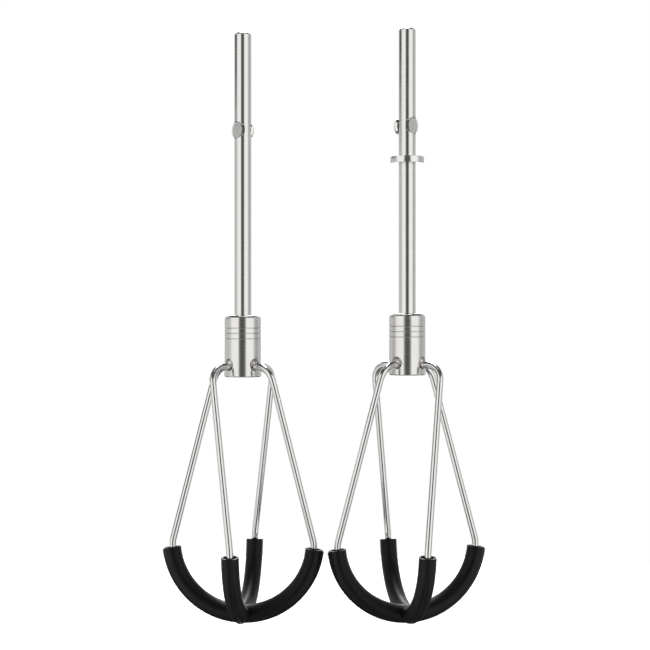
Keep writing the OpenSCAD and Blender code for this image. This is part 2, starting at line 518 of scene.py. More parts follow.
# Centreless-ground rod. Real grinding marks are about 0.05 mm apart. They are drawn at
# 0.35 mm, because anything finer is lost at this size.
GROUND_ROD = SteelFinish(
    name="stainless_rod_ground",
    light_hex="#D2D1CF",
    dark_hex="#C6C5C3",
    roughness=0.14,
    roughness_spread=0.04,
    grain=Grain.ROUND,
    mark_pitch=0.35 * MM,
    mark_depth=0.0008 * MM,
)
# Turned bar with a fine feed. The feed marks are drawn at 0.4 mm for the same reason.
TURNED_BAR = SteelFinish(
    name="stainless_bar_turned",
    light_hex="#D3D2D0",
    dark_hex="#C5C4C2",
    roughness=0.17,
    roughness_spread=0.05,
    grain=Grain.ROUND,
    mark_pitch=0.4 * MM,
    mark_depth=0.0007 * MM,
)
# Tumbled and polished small parts: nearly clean mirrors with softened marks.
POLISHED_PART = SteelFinish(
    name="stainless_part_polished",
    light_hex="#D4D3D1",
    dark_hex="#CAC9C7",
    roughness=0.12,
    roughness_spread=0.03,
    grain=Grain.ROUND,
    mark_pitch=0.5 * MM,
    mark_depth=0.001 * MM,
)
# Drawn wire, electropolished: the die leaves long lines, which the polish has softened.
DRAWN_WIRE = SteelFinish(
    name="stainless_wire_drawn",
    light_hex="#D6D5D3",
    dark_hex="#C8C7C5",
    roughness=0.08,
    roughness_spread=0.02,
    grain=Grain.ALONG,
    mark_pitch=0.4 * MM,
    mark_depth=0.0006 * MM,
)
# Black silicone, pressed in an eroded steel mould, which leaves an even satin grain.
MOULDED_SILICONE = SiliconeFinish(
    name="silicone_moulded_black",
    base_hex="#030303",
    bloom_hex="#060606",
    roughness=0.46,
    specular=0.3,
    grain_size=0.25 * MM,
    grain_depth=0.004 * MM,
    cloud_size=5 * MM,
)


class Finishes:
    """The materials of the pair, each made once when it is first asked for."""

    def __init__(self) -> None:
        """Starts with no materials made."""
        self._made: dict[str, bpy.types.Material] = {}

    def of(self, finish: SteelFinish | SiliconeFinish) -> bpy.types.Material:
        """Gives the material of a finish.

        Args:
            finish: The finish.

        Returns:
            Its material, the same one each time.
        """
        if finish.name not in self._made:
            self._made[finish.name] = finish.material()
        return self._made[finish.name]


# ---------------------------------------------------------------- geometry node trees


@dataclass
class Tree:
    """A geometry node tree with named inputs."""

    name: str
    sizes: dict[str, str]
    nodes: bpy.types.NodeTree = field(init=False)

    def __post_init__(self) -> None:
        """Makes the empty tree with its geometry sockets and its named inputs."""
        self.nodes = bpy.data.node_groups.new(self.name, "GeometryNodeTree")
        face = self.nodes.interface
        face.new_socket(name="Geometry", in_out="INPUT", socket_type="NodeSocketGeometry")
        face.new_socket(name="Geometry", in_out="OUTPUT", socket_type="NodeSocketGeometry")
        for label, kind in self.sizes.items():
            face.new_socket(name=label, in_out="INPUT", socket_type=f"NodeSocket{kind}")
        self.source = self.add("NodeGroupInput").outputs

    def add(self, kind: str, inputs: dict[str | int, Any] | None = None, **settings: Any) -> Any:
        """Adds a node to the tree, as add_node does."""
        return add_node(self.nodes, kind, inputs, **settings)

    def finish(self, geometry: bpy.types.NodeSocket) -> None:
        """Realizes the geometry, sets its material and ends the tree.

        Args:
            geometry: The socket that gives the finished shape.
        """
        real = self.add("GeometryNodeRealizeInstances", {"Geometry": geometry}).outputs[0]
        dressed = self.add(
            "GeometryNodeSetMaterial", {"Geometry": real, "Material": self.source["Material"]}
        ).outputs[0]
        self.add("NodeGroupOutput", {"Geometry": dressed})

    def run(self, name: str, base: bpy.types.Mesh, values: dict[str, Any]) -> bpy.types.Mesh:
        """Runs the tree on a mesh.

        Args:
            name: Name of the result.
            base: The mesh that the tree starts from.
            values: A value for each named input.

        Returns:
            The evaluated mesh.
        """
        holder = bpy.data.objects.new(name, base)
        bpy.context.scene.collection.objects.link(holder)
        modifier = holder.modifiers.new(self.name, "NODES")
        modifier.node_group = self.nodes
        for item in self.nodes.interface.items_tree:
            if item.item_type == "SOCKET" and item.in_out == "INPUT" and item.name in values:
                modifier[item.identifier] = values[item.name]
        return baked_mesh(holder)


def polyline_mesh(points: Sequence[Vector]) -> bpy.types.Mesh:
    """Makes a mesh of edges along a path.

    Args:
        points: Points of the path, in order.

    Returns:
        The mesh, which has no faces.
    """
    mesh = bpy.data.meshes.new("path")
    edges = [(i, i + 1) for i in range(len(points) - 1)]
    mesh.from_pydata([tuple(p) for p in points], edges, [])
    return mesh


def outline_object(name: str, points: Sequence[Point2]) -> bpy.types.Object:
    """Makes a closed flat curve, for use as the section of a sweep.

    Args:
        name: Name of the curve and its object.
        points: Points of the outline, in order.

    Returns:
        The object that holds the curve.
    """
    curve = bpy.data.curves.new(name, "CURVE")
    curve.dimensions = "3D"
    spline = curve.splines.new("POLY")
    spline.points.add(len(points) - 1)
    for point, (x, y) in zip(spline.points, points):
        point.co = (x, y, 0.0, 1.0)
    spline.use_cyclic_u = True
    holder = bpy.data.objects.new(name, curve)
    bpy.context.scene.collection.objects.link(holder)
    return holder


def wire_tree() -> Tree:
    """Builds the tree that sweeps a round wire along a path.

    It stores where each point lies in the wire's section, and how far along the wire it is,
    so that drawing marks can follow the wire through its bends.

    Returns:
        The tree, which starts from the path as a mesh of edges.
    """
    tree = Tree("drawn_wire", {"Radius": "Float", "Sides": "Int", "Material": "Material"})
    path = tree.add("GeometryNodeMeshToCurve", {"Mesh": tree.source["Geometry"]}).outputs[0]
    length = tree.add("GeometryNodeSplineParameter").outputs["Length"]
    circle = tree.add(
        "GeometryNodeCurvePrimitiveCircle",
        {"Resolution": tree.source["Sides"], "Radius": tree.source["Radius"]},
        mode="RADIUS",
    ).outputs[0]
    capture_length = tree.add("GeometryNodeCaptureAttribute", {"Geometry": path}, domain="POINT")
    capture_length.capture_items.new("FLOAT", "Length")
    tree.nodes.links.new(length, capture_length.inputs["Length"])
    capture_spot = tree.add("GeometryNodeCaptureAttribute", {"Geometry": circle}, domain="POINT")
    capture_spot.capture_items.new("VECTOR", "Spot")
    tree.nodes.links.new(
        tree.add("GeometryNodeInputPosition").outputs[0], capture_spot.inputs["Spot"]
    )
    swept = tree.add(
        "GeometryNodeCurveToMesh",
        {
            "Curve": capture_length.outputs["Geometry"],
            "Profile Curve": capture_spot.outputs["Geometry"],
            "Fill Caps": True,
        },
    ).outputs[0]
    section = tree.add(
        "ShaderNodeVectorMath",
        {
            0: capture_spot.outputs["Spot"],
            1: tree.add("ShaderNodeCombineXYZ", {"Z": capture_length.outputs["Length"]}).outputs[0],
        },
        operation="ADD",
    ).outputs[0]
    stored = tree.add(
        "GeometryNodeStoreNamedAttribute",
        {"Geometry": swept, "Name": SECTION, "Value": section},
        data_type="FLOAT_VECTOR",
        domain="POINT",
    ).outputs[0]
    tree.finish(stored)
    return tree


def sleeve_tree() -> Tree:
    """Builds the tree that moulds a sleeve: a ribbed tube, bored, and notched for its neighbour.

    The tube and its neighbour are the same outline swept along the same arc, a quarter turn
    apart. The notch is the part of the neighbour on one side of the lap level.

    Returns:
        The tree. It makes its own geometry, so it starts from an empty mesh.
    """
    notch_start, notch_sweep = math.radians(200), math.radians(140)
    bore_start, bore_sweep = math.radians(180), math.radians(180)
    bore_sides = 32
    tree = Tree(
        "moulded_sleeve",
        {
            "Outline": "Object",
            "Neighbour Outline": "Object",
            "Place": "Vector",
            "Bore Place": "Vector",
            "Turn": "Vector",
            "Neighbour Turn": "Vector",
            "Arc Radius": "Float",
            "Start Angle": "Float",
            "Sweep Angle": "Float",
            "Steps": "Int",
            "Bore Radius": "Float",
            "Keep Size": "Vector",
            "Keep Place": "Vector",
            "Material": "Material",
        },
    )

    def section(label: str) -> bpy.types.NodeSocket:
        """Reads an outline object's curve."""
        return tree.add("GeometryNodeObjectInfo", {"Object": tree.source[label]}).outputs["Geometry"]

    def hung_arc(place: str, turn: str, start: Any, sweep: Any) -> bpy.types.NodeSocket:
        """Makes the arc that a tube hangs along.

        Args:
            place: Name of the input that places its centre.
            turn: Name of the input that turns it.
            start: First angle.
            sweep: Angle from its first point to its last.

        Returns:
            The arc.
        """
        flat = tree.add(
            "GeometryNodeCurveArc",
            {
                "Resolution": tree.source["Steps"],
                "Radius": tree.source["Arc Radius"],
                "Start Angle": start,
                "Sweep Angle": sweep,
            },
            mode="RADIUS",
        ).outputs["Curve"]
        hung = tree.add(
            "GeometryNodeTransform",
            {"Geometry": flat, "Translation": tree.source[place], "Rotation": tree.source[turn]},
        ).outputs[0]
        return tree.add("GeometryNodeSetCurveNormal", {"Curve": hung}, mode="Z_UP").outputs[0]

    def swept(curve: bpy.types.NodeSocket, outline: bpy.types.NodeSocket) -> bpy.types.NodeSocket:
        """Sweeps a closed outline along a curve."""
        inputs = {"Curve": curve, "Profile Curve": outline, "Fill Caps": True}
        return tree.add("GeometryNodeCurveToMesh", inputs).outputs[0]

    arc = hung_arc("Place", "Turn", tree.source["Start Angle"], tree.source["Sweep Angle"])
    tube = swept(arc, section("Outline"))
    half = hung_arc("Place", "Neighbour Turn", notch_start, notch_sweep)
    neighbour = swept(half, section("Neighbour Outline"))
    keep = tree.add("GeometryNodeMeshCube", {"Size": tree.source["Keep Size"]}).outputs["Mesh"]
    keep = tree.add(
        "GeometryNodeTransform", {"Geometry": keep, "Translation": tree.source["Keep Place"]}
    ).outputs[0]
    notch = tree.add("GeometryNodeMeshBoolean", operation="INTERSECT", solver="EXACT")
    tree.nodes.links.new(neighbour, notch.inputs["Mesh 2"])
    tree.nodes.links.new(keep, notch.inputs["Mesh 2"])
    bore_arc = hung_arc("Bore Place", "Turn", bore_start, bore_sweep)
    bore = swept(
        bore_arc,
        tree.add(
            "GeometryNodeCurvePrimitiveCircle",
            {"Resolution": bore_sides, "Radius": tree.source["Bore Radius"]},
            mode="RADIUS",
        ).outputs[0],
    )
    bored = tree.add(
        "GeometryNodeMeshBoolean", {"Mesh 1": tube}, operation="DIFFERENCE", solver="EXACT"
    )
    tree.nodes.links.new(bore, bored.inputs["Mesh 2"])
    tree.nodes.links.new(notch.outputs["Mesh"], bored.inputs["Mesh 2"])
    tree.finish(bored.outputs["Mesh"])
    return tree


# ---------------------------------------------------------------- the beater


@dataclass(frozen=True)
class CageSizes:
    """Sizes of the wire cage and its sleeves, which the two beaters share."""

    wire_radius: float = 1.125 * MM
    wire_end_radius: float = 1.45 * MM
    hole_rise: float = 3.4 * MM
    shoulder_radius: float = 13.3 * MM
    shoulder_bend: float = 5.5 * MM
    loop_radius: float = 23.8 * MM
    twist: float = math.radians(40)
    mouth_reach: float = 1.7 * MM
    mouth_depth: float = 0.3 * MM
    lap_shift: float = 1.3 * MM
    sleeve_radius: float = 2.85 * MM
    bore_radius: float = 1.185 * MM
    rib_out: float = 0.4 * MM
    rib_width: float = 1.35 * MM
    lap_gap: float = 0.03 * MM
    cup_radius: float = 2.3 * MM
    cup_depth: float = 0.7 * MM
    cup_taper: float = 0.3 * MM
    cup_floor_round: float = 0.15 * MM
    rib_round: float = 0.2 * MM
    end_slant: float = math.radians(50)
    end_cut: float = 0.55 * MM


@dataclass(frozen=True)
class Beater:
    """One beater: its names in the frame, and how its cage and its drive pin are turned."""

    name: str
    body: str
    turn: float
    twist_hand: int
    pin_turn: float
    pin_back_out: float

    def node(self, part: str) -> str:
        """Gives the CAD node of a part of this beater."""
        return f"{self.name}_{part}"

    def box(self, part: str) -> tuple[Vector, Vector]:
        """Gives the box of a part of this beater."""
        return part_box(self.node(part))

    def axis(self) -> Vector:
        """Gives the place of the shaft's axis.

        Returns:
            The point of it at height zero.
        """
        low, high = self.box("shaft")
        middle = (low + high) / 2
        return Vector((middle.x, middle.y, 0.0))

    def shaft_radius(self) -> float:
        """Gives the radius of the shaft."""
        low, high = self.box("shaft")
        return (high.x - low.x) / 2


PLAIN = Beater("plain", "plain_beater", math.radians(-7), -1, math.radians(-50), 0.0)
COLLARED = Beater("collared", "collared_beater", math.radians(13), 1, math.radians(52.5), 0.9 * MM)


def settle(piece: bpy.types.Object, beater: Beater, part: str) -> bpy.types.Object:
    """Makes a finished piece ride and stand for its CAD node.

    Args:
        piece: The finished piece.
        beater: The beater that it belongs to.
        part: The part that it stands for.

    Returns:
        The piece.
    """
    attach(piece, beater.body)
    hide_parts(beater.node(part))
    LOG.info("%s: %d faces", piece.name, len(piece.data.polygons))
    return piece


@dataclass
class Shank:
    """The ground shaft, its riveted drive pin and, on one beater, the pressed-on collar."""

    beater: Beater
    finishes: Finishes
    tip_chamfer: float = 0.5 * MM
    tip_round: float = 0.15 * MM
    head_radius: float = 2.8 * MM
    head_crown: float = 3.1 * MM
    head_seat: float = 1.2 * MM
    face_radius: float = 2.72 * MM
    rim_height: float = 2.62 * MM
    rim_round: float = 0.14 * MM
    lip_width: float = 0.45 * MM
    recess_depth: float = 0.1 * MM
    flare_start: float = 2.3 * MM
    flare_end: float = 1.7 * MM
    flare_radius: float = 3.35 * MM
    pin_radius: float = 1.2 * MM
    fit_gap: float = 0.02 * MM
    collar_edge: float = 0.13 * MM

    def pin_frame(self) -> Matrix:
        """Gives the frame of the drive pin.

        Returns:
            A frame with its local Z along the pin to the front, and its local Y up.
        """
        low, high = self.beater.box("drive_pin")
        outward = polar(1.0, self.beater.pin_turn)
        rows = Matrix((UP.cross(outward), UP, outward)).transposed().to_4x4()
        place = self.beater.axis() + UP * (low.z + high.z) / 2
        return Matrix.Translation(place) @ rows

    def shaft_outline(self) -> list[Point2]:
        """Gives the shaft's outline, with its chamfered ends a little rounded.

        Returns:
            The points, from the bottom up.
        """
        low, high = self.beater.box("shaft")
        radius, cut, soft = self.beater.shaft_radius(), self.tip_chamfer, self.tip_round
        end = [
            (0.0, 0.0),
            (radius - cut - soft, 0.0),
            (radius - cut + soft * 0.2, soft * 0.35),
            (radius - soft * 0.35, cut - soft * 0.2),
            (radius, cut + soft),
        ]
        bottom = [(r, low.z + h) for r, h in end]
        top = [(r, high.z - h) for r, h in reversed(end)]
        return bottom + top

    def build_shaft(self) -> bpy.types.Object:
        """Builds the shaft, with the pin's bore and seats cut into it.

        Returns:
            The finished piece.
        """
        place = Matrix.Translation(self.beater.axis())
        mesh = lathe_mesh("shaft", self.shaft_outline(), place, 128)
        reach = 2 * self.head_crown
        seat = self.head_radius + self.fit_gap
        bore = self.pin_radius + self.fit_gap
        flats = (self.head_seat, -self.head_seat - self.beater.pin_back_out)
        cutters = []
        for flat in flats:
            end = math.copysign(reach, flat)
            counterbore = [(0, flat), (seat, flat), (seat, end), (0, end)]
            cutters.append(lathe_mesh("seat", counterbore, self.pin_frame(), 64))
        drill = [(0, -reach), (bore, -reach), (bore, reach), (0, reach)]
        cutters.append(lathe_mesh("bore", drill, self.pin_frame(), 48))
        mesh = carve(mesh, cutters)
        smooth(mesh, 30)
        true_round(mesh, self.beater.axis(), self.beater.shaft_radius())
        piece = new_piece(f"{self.beater.name}_ground_rod", mesh, self.finishes.of(GROUND_ROD))
        return settle(piece, self.beater, "shaft")

    def build_pin(self) -> bpy.types.Object:
        """Builds the riveted pin.

        Its heads have a recessed face and flare to the sides, and are no higher than wide.

        Returns:
            The finished piece.
        """
        soft, crown, depth = self.rim_round, self.rim_height, self.recess_depth
        seat = self.head_seat + self.fit_gap
        inner = self.face_radius - self.lip_width
        face = [(0.0, crown - depth), (inner - soft, crown - depth), (inner, crown - depth),
                (inner + soft, crown - depth * 0.2)]
        rim = arc_points((self.face_radius - soft, crown - soft), soft, 110, 30, 5)
        neck = [(self.head_radius, self.flare_start), (self.flare_radius, self.flare_end),
                (self.head_radius, seat + soft), (self.head_radius - soft, seat),
                (self.pin_radius, seat)]
        head = face + rim + neck
        out = self.beater.pin_back_out
        outline = head + [(r, -h - out) for r, h in reversed(head)]
        mesh = lathe_mesh("pin", outline, Matrix.Identity(4), 96)
        for vertex in mesh.vertices:
            spoke = vertex.co.xy.length
            if spoke > self.head_radius:
                vertex.co.y *= self.head_radius / spoke
        mesh.transform(self.pin_frame())
        smooth(mesh, 28)
        piece = new_piece(f"{self.beater.name}_riveted_pin", mesh, self.finishes.of(POLISHED_PART))
        return settle(piece, self.beater, "drive_pin")

    def build_collar(self) -> bpy.types.Object:
        """Builds the pressed-on collar with rolled edges.

        Returns:
            The finished piece.
        """
        low, high = self.beater.box("collar")
        bore = self.beater.shaft_radius() + self.fit_gap
        out, edge = (high.x - low.x) / 2, self.collar_edge
        outline = [(bore, low.z)]
        outline += arc_points((out - edge, low.z + edge), edge, -90, 0, 5)
        outline += arc_points((out - edge, high.z - edge), edge, 0, 90, 5)
        outline.append((bore, high.z))
        mesh = lathe_mesh("collar", outline, Matrix.Translation(self.beater.axis()), 128)
        smooth(mesh, 40)
        piece = new_piece(f"{self.beater.name}_pressed_ring", mesh, self.finishes.of(POLISHED_PART))
        return settle(piece, self.beater, "collar")

    def build(self) -> None:
        """Builds every piece of the shank that this beater has."""
        self.build_shaft()
        self.build_pin()
        if self.beater is COLLARED:
            self.build_collar()


@dataclass
class HubSet:
    """The turned hub and the plug that holds the wire ends inside it."""

    beater: Beater
    cage: CageSizes
    finishes: Finishes
    top_fillet: float = 1.2 * MM
    low_fillet: float = 0.5 * MM
    groove_drop: float = 4.2 * MM
    groove_pitch: float = 1.75 * MM
    groove_count: int = 3
    groove_half: float = 0.15 * MM
    groove_depth: float = 0.11 * MM
    sink_radius: float = 2.3 * MM
    sink_rise: float = 0.7 * MM
    sink_depth: float = 1.0 * MM
    scoop_depth: float = 0.3 * MM
    fit_gap: float = 0.02 * MM
    plug_edge: float = 0.3 * MM

    def hole_turns(self) -> list[float]:
        """Gives the directions of the four wire holes."""
        first = self.beater.turn + self.beater.twist_hand * self.cage.twist
        return [first + math.pi / 2 * k for k in range(4)]

    def hole_height(self) -> float:
        """Gives the height of the wire holes."""
        return self.beater.box("hub")[0].z + self.cage.hole_rise

    def radial_cutter(self, turn: float, height: float, outline: Sequence[Point2]) -> bpy.types.Mesh:
        """Makes a round cutter that points outwards from the hub's axis.

        Args:
            turn: Direction of the cutter.
            height: Height of its axis.
            outline: Radius, and distance from the hub's axis.

        Returns:
            The cutter.
        """
        outward = polar(1.0, turn)
        rows = Matrix((UP.cross(outward), UP, outward)).transposed()
        place = Matrix.Translation(self.beater.axis() + UP * height) @ rows.to_4x4()
        return lathe_mesh("cutter", outline, place, 48)

    def wall_outline(self) -> list[Point2]:
        """Gives the hub's outer wall.

        Returns:
            Points of its outline, from the bottom edge up to the top edge.
        """
        low, high = self.beater.box("hub")
        radius = (high.x - low.x) / 2
        points = arc_points((radius - self.low_fillet, low.z + self.low_fillet),
                            self.low_fillet, -90, 0, 8)
        half, depth = self.groove_half, self.groove_depth
        land = half * 0.1
        for i in reversed(range(self.groove_count)):
            middle = high.z - self.groove_drop - i * self.groove_pitch
            points += [
                (radius, middle - half),
                (radius - depth, middle - land),
                (radius - depth, middle + land),
                (radius, middle + half),
            ]
        return points + arc_points((radius - self.top_fillet, high.z - self.top_fillet),
                                   self.top_fillet, 0, 90, 8)

    def build_hub(self) -> bpy.types.Object:
        """Builds the hub, with its bores, its grooves and its scooped wire holes.

        Returns:
            The finished piece.
        """
        low, high = self.beater.box("hub")
        radius = (high.x - low.x) / 2
        bore = self.beater.shaft_radius() + self.fit_gap
        plug_low, plug_high = self.beater.box("hub_plug")
        pocket = (plug_high.x - plug_low.x) / 2 + self.fit_gap
        ledge = plug_high.z
        outline = self.wall_outline()
        outline += [(bore, high.z), (bore, ledge), (pocket, ledge), (pocket, low.z)]
        mesh = lathe_mesh("hub", outline, Matrix.Translation(self.beater.axis()), 160)
        cutters = []
        floor = radius - self.sink_depth
        for turn in self.hole_turns():
            hole = self.cage.wire_radius + self.fit_gap
            drill = [(0, 0), (hole, 0), (hole, 2 * radius), (0, 2 * radius)]
            cutters.append(self.radial_cutter(turn, self.hole_height(), drill))
            sink = [(0.0, floor - self.scoop_depth)]
            middle = floor + self.sink_radius - self.scoop_depth
            sink += arc_points((0, middle), self.sink_radius, -75, 0, 12)
            sink += [(self.sink_radius, 2 * radius), (0.0, 2 * radius)]
            cutters.append(self.radial_cutter(turn, self.hole_height() + self.sink_rise, sink))
        mesh = carve(mesh, cutters)
        smooth(mesh, 30)
        true_round(mesh, self.beater.axis(), radius)
        piece = new_piece(f"{self.beater.name}_turned_hub", mesh, self.finishes.of(TURNED_BAR))
        return settle(piece, self.beater, "hub")

    def build_plug(self) -> bpy.types.Object:
        """Builds the plug, with the crossed holes that the wire ends sit in.

        Returns:
            The finished piece.
        """
        low, high = self.beater.box("hub_plug")
        radius, edge = (high.x - low.x) / 2, self.plug_edge
        outline = [(0.0, low.z)]
        outline += arc_points((radius - edge, low.z + edge), edge, -90, 0, 4)
        outline += arc_points((radius - edge, high.z - edge), edge, 0, 90, 4)
        outline.append((0.0, high.z))
        mesh = lathe_mesh("plug", outline, Matrix.Translation(self.beater.axis()), 64)
        hole = self.cage.wire_radius + self.fit_gap
        drill = [(0, -2 * radius), (hole, -2 * radius), (hole, 2 * radius), (0, 2 * radius)]
        height = self.hole_height()
        mesh = carve(mesh, [self.radial_cutter(t, height, drill) for t in self.hole_turns()[:2]])
        smooth(mesh, 30)
        piece = new_piece(f"{self.beater.name}_pressed_plug", mesh, self.finishes.of(TURNED_BAR))
        return settle(piece, self.beater, "hub_plug")

    def build(self) -> None:
        """Builds the hub and its plug."""
        self.build_hub()
        self.build_plug()


@dataclass
class Cage:
    """The two crossed wire loops and the two sleeves moulded round their bottoms."""

    beater: Beater
    cage: CageSizes
    finishes: Finishes
    wires: Tree
    sleeves: Tree
    wire_sides: int = 40
    arc_steps: int = 96
    shoulder_steps: int = 16
    knee_steps: int = 6
    sleeve_steps: int = 72

    def loop_height(self) -> float:
        """Works out how high the centre of the sleeves' arcs is.

        Returns:
            The height.
        """
        size = self.cage
        lowest = self.beater.box("lower_sleeve")[0].z
        return lowest + size.loop_radius + size.sleeve_radius + size.rib_out

    def sleeve_top(self) -> float:
        """Gives the height of the sleeves' ends."""
        return self.beater.box("lower_sleeve")[1].z

    def wire_path(self, upper: bool) -> list[Vector]:
        """Gives the centre line of one wire loop.

        Args:
            upper: True for the loop that passes above the other at the crossing.

        Returns:
            The points, from one end in the plug to the other.
        """
        size = self.cage
        quarter = math.pi / 2 if upper else 0.0
        turn = self.beater.turn + quarter
        hole_turn = turn + self.beater.twist_hand * size.twist
        centre = self.loop_height() + (size.lap_shift if upper else -size.lap_shift)
        mouth_height = self.sleeve_top() - size.mouth_depth
        short = math.asin((centre - mouth_height) / size.loop_radius)
        hole_height = self.beater.box("hub")[0].z + size.hole_rise
        start = polar(size.wire_end_radius, hole_turn, hole_height)
        shoulder = polar(size.shoulder_radius, hole_turn, hole_height)
        rise = polar(math.sin(short), turn, math.cos(short))
        knee = polar(size.loop_radius * math.cos(short), turn, mouth_height) + rise * size.mouth_reach
        down = (knee - shoulder).normalized()
        knee_radius = size.mouth_reach / math.tan(down.angle(-rise) / 2)
        out = (shoulder - start).normalized()
        leg = [start]
        leg += bend_points(shoulder, out, down, size.shoulder_bend, self.shoulder_steps)
        leg += bend_points(knee, down, -rise, knee_radius, self.knee_steps)
        step = (math.pi - 2 * short) / self.arc_steps
        arc = []
        for i in range(1, self.arc_steps):
            a = short + i * step
            drop = size.loop_radius * math.sin(a)
            arc.append(polar(size.loop_radius * math.cos(a), turn, centre - drop))
        far = [Vector((-p.x, -p.y, p.z)) for p in reversed(leg)]
        return [self.beater.axis() + p for p in leg + arc + far]

    def build_wire(self, upper: bool) -> bpy.types.Object:
        """Builds one wire loop.

        Args:
            upper: True for the loop that passes above the other at the crossing.

        Returns:
            The finished piece.
        """
        part = "upper_wire" if upper else "lower_wire"
        material = self.finishes.of(DRAWN_WIRE)
        values = {"Radius": self.cage.wire_radius, "Sides": self.wire_sides, "Material": material}
        mesh = self.wires.run(part, polyline_mesh(self.wire_path(upper)), values)
        smooth(mesh, 50)
        piece = new_piece(f"{self.beater.name}_{part}_loop", mesh, material)
        return settle(piece, self.beater, part)

    def ribbed_outline(self, grow: float) -> list[Point2]:
        """Gives a sleeve's section: a circle with a raised rib on its outer side.

        Args:
            grow: How much larger than the true section it is all round.

        Returns:
            The points, with the rib towards +Y.
        """
        size = self.cage
        radius = size.sleeve_radius + grow
        half = size.rib_width / 2 + grow
        top = size.sleeve_radius + size.rib_out + grow
        soft = size.rib_round
        foot = math.degrees(math.asin((half + soft) / radius))
        body = arc_points((0, 0), radius, 90 + foot, 450 - foot, 88)
        root = math.sqrt(radius**2 - half**2)
        rib = [(half + soft * 0.3, root + soft * 0.05), (half, root + soft * 0.6)]
        rib += arc_points((half - soft, top - soft), soft, 0, 90, 4)
        left = [(-x, y) for x, y in reversed(rib)]
        return body + rib + left

    def end_cutters(self, turn: float) -> list[bpy.types.Mesh]:
        """Makes the cutters for a sleeve's two ends.

        Args:
            turn: Direction of one end of the sleeve.

        Returns:
            For each end a cup round the wire, and a wedge that cuts its outer corner back.
        """
        size = self.cage
        top = self.sleeve_top()
        mouth = math.sqrt(size.loop_radius**2 - (self.loop_height() - top) ** 2)
        depth, taper = size.cup_depth, size.cup_taper
        floor_round = size.cup_floor_round
        cup = [(0.0, -depth), (size.cup_radius - taper - floor_round, -depth),
               (size.cup_radius - taper, -depth + floor_round),
               (size.cup_radius + taper, depth), (0.0, depth)]
        cutters = []
        for side in (turn, turn + math.pi):
            outward = Matrix.Rotation(side - math.pi / 2, 4, "Z")
            centre = Matrix.Translation(self.beater.axis() + UP * top) @ outward
            cutters.append(
                lathe_mesh("cup", cup, centre @ Matrix.Translation((mouth, 0.0, 0.0)), 64))
            edge = Matrix.Translation((mouth + size.sleeve_radius - size.end_cut, 0.0, 0.0))
            slant = Matrix.Rotation(size.end_slant, 4, "Y")
            reach = 10 * MM
            middle = Matrix.Translation((0.0, 0.0, reach / 2))
            wedge = bmesh.new()
            block = Matrix.Diagonal((2 * reach, reach, reach, 1.0))
            bmesh.ops.create_cube(wedge, size=1.0, matrix=block)
            wedge.transform(centre @ edge @ slant @ middle)
            mesh = bpy.data.meshes.new("wedge")
            wedge.to_mesh(mesh)
            wedge.free()
            cutters.append(mesh)
        return cutters

    def build_sleeve(self, upper: bool) -> bpy.types.Object:
        """Builds one sleeve, lapped with the other.

        Args:
            upper: True for the sleeve that is notched from below.

        Returns:
            The finished piece.
        """
        size = self.cage
        part = "upper_sleeve" if upper else "lower_sleeve"
        quarter = math.pi / 2 if upper else 0.0
        turn = self.beater.turn + quarter - math.pi / 2
        centre = self.loop_height()
        lap = centre - size.loop_radius
        short = math.asin((centre - self.sleeve_top()) / size.loop_radius)
        shift = size.lap_shift if upper else -size.lap_shift
        depth = 12 * MM
        gap = size.lap_gap
        keep_middle = lap - depth / 2 + gap if upper else lap + depth / 2 - gap
        outline = outline_object("sleeve_outline", self.ribbed_outline(0.0))
        neighbour = outline_object("neighbour_outline", self.ribbed_outline(size.lap_gap))
        values = {
            "Outline": outline,
            "Neighbour Outline": neighbour,
            "Place": tuple(self.beater.axis() + UP * centre),
            "Bore Place": tuple(self.beater.axis() + UP * (centre + shift)),
            "Turn": (math.pi / 2, 0.0, turn),
            "Neighbour Turn": (math.pi / 2, 0.0, turn + math.pi / 2),
            "Arc Radius": size.loop_radius,
            "Start Angle": math.pi + short,
            "Sweep Angle": math.pi - 2 * short,
            "Steps": self.sleeve_steps,
            "Bore Radius": size.bore_radius,
            "Keep Size": (4 * depth, 4 * depth, depth),
            "Keep Place": tuple(self.beater.axis() + UP * keep_middle),
            "Material": self.finishes.of(MOULDED_SILICONE),
        }
        mesh = self.sleeves.run(part, bpy.data.meshes.new(part), values)
        for helper in (outline, neighbour):
            bpy.data.objects.remove(helper)
        mesh = carve(mesh, self.end_cutters(self.beater.turn + quarter))
        smooth(mesh, 35)
        name = f"{self.beater.name}_{part}_moulding"
        piece = new_piece(name, mesh, self.finishes.of(MOULDED_SILICONE))
        return settle(piece, self.beater, part)

    def build(self) -> None:
        """Builds both wires and both sleeves."""
        for upper in (False, True):
            self.build_wire(upper)
            self.build_sleeve(upper)


# ---------------------------------------------------------------- studio


@dataclass(frozen=True)
class Lamp:
    """A soft lamp overhead, given by how its edges fade along the parts of a direction."""

    half_width: tuple[float, float]
    foot: tuple[float, float]
    front: tuple[float, float]
    back: tuple[float, float]
    level: float


